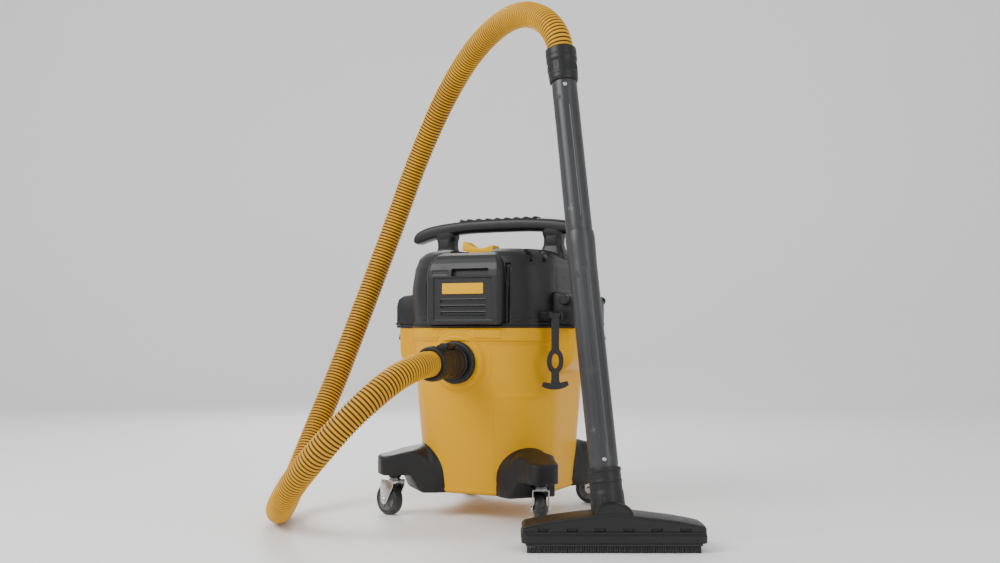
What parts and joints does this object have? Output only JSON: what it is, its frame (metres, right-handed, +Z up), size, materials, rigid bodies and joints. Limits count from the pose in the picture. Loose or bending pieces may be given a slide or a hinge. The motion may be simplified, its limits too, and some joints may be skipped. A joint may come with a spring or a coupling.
{
  "type": "shop vacuum",
  "caption": "Wheeled wet-and-dry shop vacuum: rounded tub, lift-off motor head with latches and carry handle, ribbed hose, wand and floor nozzle.",
  "frame": {"origin": "on the floor, under the middle of everything but the free hose", "axes": "+Z up, the machine faces -Y, +X towards its right as its front is looked at"},
  "size_m": [0.9478, 0.7457, 1.0755],
  "materials": {
    "tank_yellow": "moulded yellow plastic, satin gloss with fine moulding texture",
    "hose_yellow": "ribbed flexible yellow plastic",
    "switch_yellow": "moulded yellow plastic, smooth",
    "badge_yellow": "plain yellow plate with no mark",
    "black_plastic": "moulded black plastic, satin with fine grain",
    "charcoal_plastic": "moulded dark grey plastic, satin",
    "wand_plastic": "extruded dark grey plastic with fine lengthwise ribs",
    "rubber_black": "soft black rubber",
    "bristle_black": "dense black bristle strip",
    "zinc_plate": "zinc-plated pressed steel",
    "steel": "plain turned steel",
    "caster_wheel": "hard black tread on a grey hub",
    "filter_paper": "pleated filter paper",
    "white_plastic": "plain white plastic",
    "winding_copper": "varnished copper windings on a steel core"
  },
  "bodies": {
    "base": {"tank": "tank_yellow", "inlet_port": "black_plastic", "inlet_deflector": "black_plastic", "hose_cuff_inlet": "black_plastic", "hose": "hose_yellow", "hose_cuff_wand": "black_plastic", "wand_upper": "wand_plastic", "wand_lower": "wand_plastic", "nozzle_hood": "black_plastic", "nozzle_base": "black_plastic", "brush_front": "bristle_black", "brush_rear": "bristle_black", "foot_front_left": "black_plastic", "foot_front_right": "black_plastic", "foot_rear_right": "black_plastic", "foot_rear_left": "black_plastic"},
    "head": {"head_base": "black_plastic", "tank_gasket": "rubber_black", "head_cover": "black_plastic", "front_panel": "charcoal_plastic", "badge_plate": "badge_yellow", "carry_handle": "black_plastic", "handle_grip": "rubber_black", "switch_body": "black_plastic", "latch_pin_left": "steel", "latch_pin_right": "steel", "strap_anchor": "black_plastic", "blower_port": "black_plastic", "fan_housing": "steel", "motor_can": "steel", "motor_stator": "zinc_plate", "filter_cage": "black_plastic", "filter_cartridge": "filter_paper"},
    "rotor": {"motor_shaft": "steel", "motor_armature": "winding_copper", "impeller": "zinc_plate", "cooling_fan": "white_plastic"},
    "switch": {"power_switch": "switch_yellow"},
    "latch_left": {"latch_left": "charcoal_plastic"},
    "latch_right": {"latch_right": "charcoal_plastic"},
    "strap": {"tool_strap": "rubber_black"},
    "float": {"float_ball": "white_plastic"},
    "retainer": {"filter_retainer": "black_plastic"},
    "hose_lock": {"hose_lock_button": "black_plastic"},
    "wand_lock_lower": {"wand_button_lower": "zinc_plate"},
    "wand_lock_upper": {"wand_button_upper": "zinc_plate"},
    "caster_front_left": {"caster_fork_front_left": "zinc_plate", "caster_axle_front_left": "steel"},
    "wheel_front_left": {"caster_wheel_front_left": "caster_wheel"},
    "caster_front_right": {"caster_fork_front_right": "zinc_plate", "caster_axle_front_right": "steel"},
    "wheel_front_right": {"caster_wheel_front_right": "caster_wheel"},
    "caster_rear_right": {"caster_fork_rear_right": "zinc_plate", "caster_axle_rear_right": "steel"},
    "wheel_rear_right": {"caster_wheel_rear_right": "caster_wheel"},
    "caster_rear_left": {"caster_fork_rear_left": "zinc_plate", "caster_axle_rear_left": "steel"},
    "wheel_rear_left": {"caster_wheel_rear_left": "caster_wheel"}
  },
  "joints": [
    {"name": "head_lift", "type": "slide", "parent": "base", "child": "head", "axis": [0, 0, 1], "range_m": [0, 0.25]},
    {"name": "latch_left_swing", "type": "hinge", "parent": "head", "child": "latch_left", "pos_m": [-0.36923, 0.10373, 0.456], "axis": [0, 1, 0], "range_deg": [0, 35]},
    {"name": "latch_right_swing", "type": "hinge", "parent": "head", "child": "latch_right", "pos_m": [0.06677, 0.10373, 0.456], "axis": [0, -1, 0], "range_deg": [0, 35]},
    {"name": "switch_rock", "type": "hinge", "parent": "head", "child": "switch", "pos_m": [-0.15123, 0.00473, 0.555], "axis": [0, -1, 0], "range_deg": [0, 16]},
    {"name": "strap_swing", "type": "hinge", "parent": "head", "child": "strap", "pos_m": [0.03061, -0.02106, 0.424], "axis": [-0.4695, -0.8829, 0], "range_deg": [0, 80]},
    {"name": "rotor_spin", "type": "hinge", "parent": "head", "child": "rotor", "pos_m": [-0.15123, 0.10373, 0.48], "axis": [0, 0, 1], "continuous": true},
    {"name": "float_rise", "type": "slide", "parent": "head", "child": "float", "axis": [0, 0, 1], "range_m": [0, 0.07]},
    {"name": "retainer_turn", "type": "hinge", "parent": "head", "child": "retainer", "pos_m": [-0.15123, 0.10373, 0.24], "axis": [0, 0, 1], "range_deg": [0, 90]},
    {"name": "hose_lock_press", "type": "slide", "parent": "base", "child": "hose_lock", "axis": [0, 0, -1], "range_m": [0, 0.003], "stiffness_N_per_m": 400, "springref_m": -0.001},
    {"name": "wand_lock_lower_press", "type": "slide", "parent": "base", "child": "wand_lock_lower", "axis": [-0.402, 0.8994, -0.1717], "range_m": [0, 0.003], "stiffness_N_per_m": 300, "springref_m": -0.001},
    {"name": "wand_lock_upper_press", "type": "slide", "parent": "base", "child": "wand_lock_upper", "axis": [-0.402, 0.8994, -0.1717], "range_m": [0, 0.003], "stiffness_N_per_m": 300, "springref_m": -0.001},
    {"name": "swivel_front_left", "type": "hinge", "parent": "base", "child": "caster_front_left", "pos_m": [-0.31923, -0.06427, 0.075], "axis": [0, 0, 1], "continuous": true},
    {"name": "roll_front_left", "type": "hinge", "parent": "caster_front_left", "child": "wheel_front_left", "pos_m": [-0.33615, -0.05811, 0.033], "axis": [0.342, 0.9397, 0], "continuous": true},
    {"name": "swivel_front_right", "type": "hinge", "parent": "base", "child": "caster_front_right", "pos_m": [0.01677, -0.06427, 0.075], "axis": [0, 0, 1], "continuous": true},
    {"name": "roll_front_right", "type": "hinge", "parent": "caster_front_right", "child": "wheel_front_right", "pos_m": [0.00916, -0.04796, 0.033], "axis": [0.9063, 0.4226, 0], "continuous": true},
    {"name": "swivel_rear_right", "type": "hinge", "parent": "base", "child": "caster_rear_right", "pos_m": [0.01677, 0.27173, 0.075], "axis": [0, 0, 1], "continuous": true},
    {"name": "roll_rear_right", "type": "hinge", "parent": "caster_rear_right", "child": "wheel_rear_right", "pos_m": [-0.00096, 0.2686, 0.033], "axis": [-0.1736, 0.9848, 0], "continuous": true},
    {"name": "swivel_rear_left", "type": "hinge", "parent": "base", "child": "caster_rear_left", "pos_m": [-0.31923, 0.27173, 0.075], "axis": [0, 0, 1], "continuous": true},
    {"name": "roll_rear_left", "type": "hinge", "parent": "caster_rear_left", "child": "wheel_rear_left", "pos_m": [-0.30364, 0.26273, 0.033], "axis": [-0.5, -0.866, 0], "continuous": true}
  ]
}
